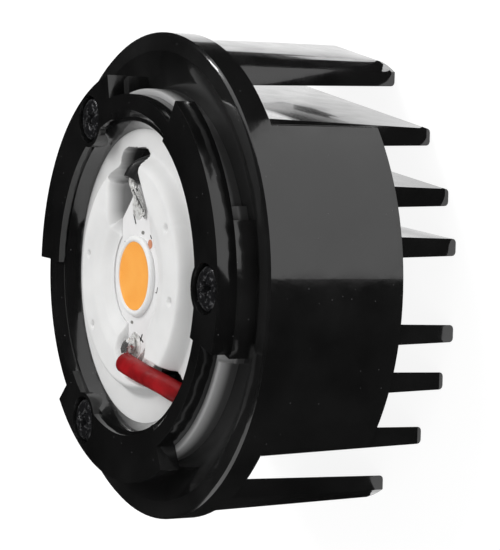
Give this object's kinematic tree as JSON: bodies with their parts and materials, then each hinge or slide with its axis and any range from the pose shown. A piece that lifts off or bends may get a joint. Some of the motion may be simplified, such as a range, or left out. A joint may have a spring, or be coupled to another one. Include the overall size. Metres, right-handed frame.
{
  "type": "round COB LED spotlight module",
  "caption": "Round spotlight module: black finned heat sink with a dished flange, white holder over a square COB light source, three-eared retaining ring and short leads.",
  "frame": {"origin": "centre of the module on the plane of the fin tips", "axes": "+Z is the direction the light shines and the axis of the round flange, +X runs along the middle plane of the fins toward the side where the fins come closest together, +Y follows the right-hand rule"},
  "size_m": [0.05, 0.05, 0.0253],
  "materials": {
    "heat_sink": "gloss black paint on die-cast aluminium",
    "thermal_pad": "soft grey thermal interface pad",
    "cob_board": "white solder mask, satin",
    "cob_dam": "white silicone, satin",
    "cob_phosphor": "orange-yellow phosphor in silicone, satin",
    "solder_pad": "tinned copper",
    "solder": "bright solder, uneven gloss",
    "lead_red": "red PVC insulation",
    "lead_black": "black PVC insulation",
    "lead_core": "tinned copper strands",
    "cob_holder": "white moulded plastic, satin",
    "retaining_ring": "gloss black paint on die-cast aluminium",
    "screw": "black zinc plated steel, glossy"
  },
  "bodies": {
    "root": {"heat_sink": "heat_sink", "thermal_pad": "thermal_pad", "cob_board": "cob_board", "cob_dam": "cob_dam", "cob_phosphor": "cob_phosphor", "pad_positive": "solder_pad", "pad_negative": "solder_pad", "solder_positive": "solder", "solder_negative": "solder", "lead_red": "lead_red", "lead_red_core": "lead_core", "lead_black": "lead_black", "lead_black_core": "lead_core", "cob_holder": "cob_holder", "retaining_ring": "retaining_ring", "ring_screw_1": "screw", "ring_screw_2": "screw", "ring_screw_3": "screw"}
  },
  "joints": []
}
